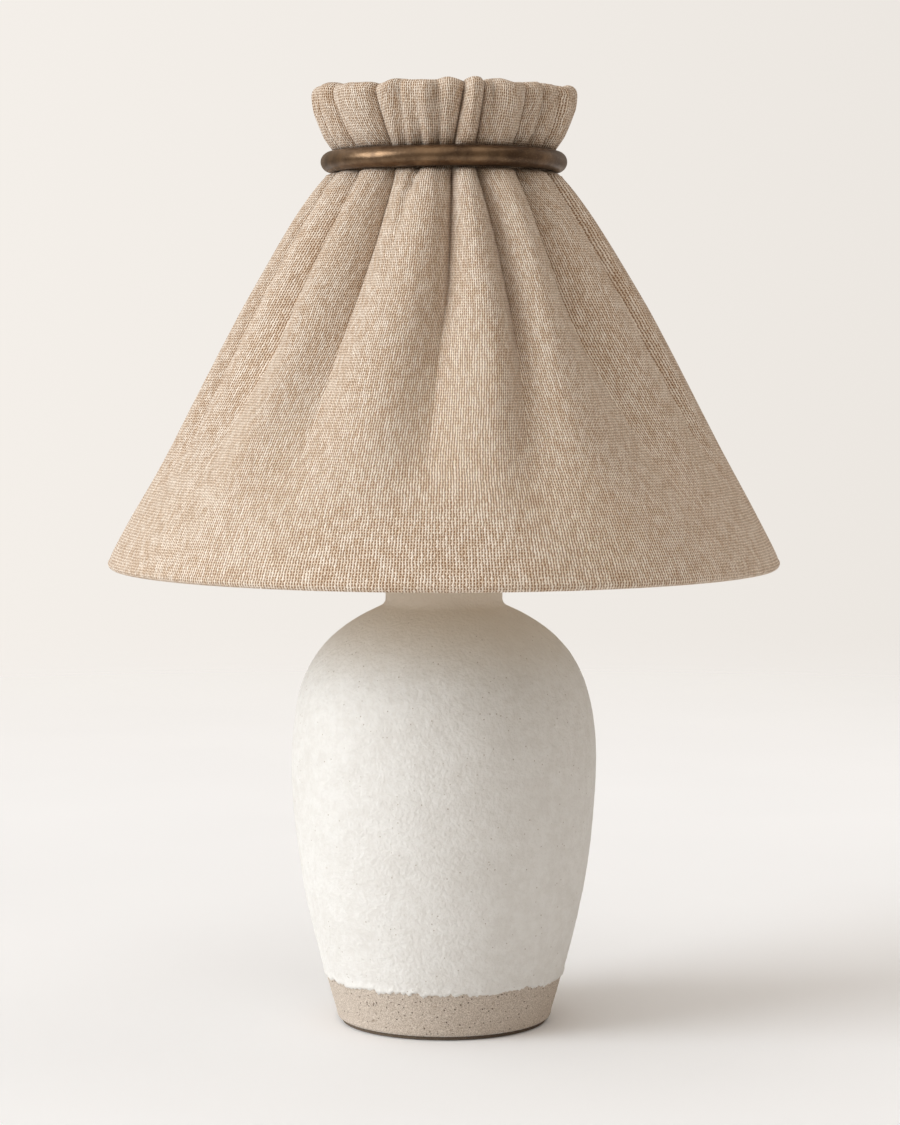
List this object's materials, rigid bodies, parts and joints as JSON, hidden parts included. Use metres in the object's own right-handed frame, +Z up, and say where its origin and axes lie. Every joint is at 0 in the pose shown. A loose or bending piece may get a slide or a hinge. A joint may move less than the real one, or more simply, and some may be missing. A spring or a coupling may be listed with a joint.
{
  "type": "table lamp",
  "caption": "Table lamp with a glazed stoneware jar base and a gathered linen shade on a harp, held at its neck by a bronze ring.",
  "frame": {"origin": "centre of the felt pad's underside, where the lamp stands", "axes": "+Z up along the lamp's axis, -Y towards the front where the switch knob points, +Y towards the cord outlet at the back of the foot"},
  "size_m": [0.4, 0.4, 0.5594],
  "materials": {
    "felt": "dark brown felt",
    "stoneware": "matte cream glaze over bare gritty stoneware at the foot",
    "grommet_rubber": "dark brown moulded rubber",
    "zinc_steel": "zinc plated steel",
    "antique_brass": "dark antique brass",
    "socket_brass": "lacquered sheet brass",
    "card_sleeve": "pressed insulating card",
    "black_phenolic": "black moulded phenolic",
    "bulb_aluminium": "rolled thread aluminium",
    "frosted_glass": "frosted inside, milky white",
    "harp_steel": "bronze lacquered spring wire",
    "linen": "coarse slubby plain weave linen, warm beige",
    "lining_card": "white styrene-backed lining",
    "frame_paint": "off-white painted wire",
    "bronze": "mottled dark antique bronze"
  },
  "bodies": {
    "root": {"felt_pad": "felt", "ceramic_body": "stoneware", "cord_grommet": "grommet_rubber", "rubber_washer": "grommet_rubber", "base_washer": "zinc_steel", "lock_washer": "zinc_steel", "base_nut": "zinc_steel", "lamp_pipe": "zinc_steel", "vase_cap": "antique_brass", "neck_spacer": "antique_brass", "harp_saddle": "antique_brass", "socket_cap": "socket_brass", "socket_shell": "socket_brass", "socket_sleeve": "card_sleeve", "socket_block": "black_phenolic", "terminal_screw_left": "zinc_steel", "terminal_screw_right": "socket_brass", "screw_shell": "bulb_aluminium", "centre_contact": "socket_brass"},
    "switch": {"switch_shaft": "socket_brass", "switch_knob": "black_phenolic"},
    "bulb_carrier": {"bulb_contact": "zinc_steel", "bulb_insulator": "black_phenolic", "bulb_cap": "bulb_aluminium"},
    "bulb": {"bulb_glass": "frosted_glass"},
    "harp": {"harp_loop": "harp_steel"},
    "ferrule_left": {"ferrule_left": "antique_brass"},
    "ferrule_right": {"ferrule_right": "antique_brass"},
    "stud": {"harp_stud": "antique_brass"},
    "shade": {"shade_skirt": "linen", "shade_ruffle": "linen", "shade_liner": "lining_card", "top_wire": "frame_paint", "hem_wire": "frame_paint", "spider_arm_1": "frame_paint", "spider_arm_2": "frame_paint", "spider_arm_3": "frame_paint", "spider_hub": "frame_paint", "gather_ring": "bronze"},
    "finial_carrier": {"finial_bush": "socket_brass"},
    "finial": {"finial_knob": "antique_brass"}
  },
  "joints": [
    {"name": "switch_turn", "type": "hinge", "parent": "root", "child": "switch", "pos_m": [0, 0, 0.3126], "axis": [0, -1, 0], "continuous": true},
    {"name": "bulb_rise", "type": "slide", "parent": "root", "child": "bulb_carrier", "axis": [0, 0, 1], "range_m": [0, 0.0185]},
    {"name": "bulb_turn", "type": "hinge", "parent": "bulb_carrier", "child": "bulb", "pos_m": [0, 0, 0.36], "axis": [0, 0, 1], "range_deg": [0, 1800]},
    {"name": "harp_lift", "type": "slide", "parent": "root", "child": "harp", "axis": [0, 0, 1], "range_m": [0, 0.16]},
    {"name": "ferrule_left_lift", "type": "slide", "parent": "harp", "child": "ferrule_left", "axis": [0, 0, 1], "range_m": [0, 0.0125]},
    {"name": "ferrule_right_lift", "type": "slide", "parent": "harp", "child": "ferrule_right", "axis": [0, 0, 1], "range_m": [0, 0.0125]},
    {"name": "shade_spin", "type": "hinge", "parent": "harp", "child": "stud", "pos_m": [0, 0, 0.49], "axis": [0, 0, 1], "continuous": true},
    {"name": "shade_lift", "type": "slide", "parent": "stud", "child": "shade", "axis": [0, 0, 1], "range_m": [0, 0.25]},
    {"name": "finial_rise", "type": "slide", "parent": "shade", "child": "finial_carrier", "axis": [0, 0, 1], "range_m": [0, 0.0102]},
    {"name": "finial_turn", "type": "hinge", "parent": "finial_carrier", "child": "finial", "pos_m": [0, 0, 0.5], "axis": [0, 0, 1], "range_deg": [0, 3600]}
  ],
  "couplings": [
    {"joint": "bulb_rise", "follows": "bulb_turn", "m_per_rad": 0.00057751},
    {"joint": "finial_rise", "follows": "finial_turn", "m_per_rad": 0.00014972}
  ]
}
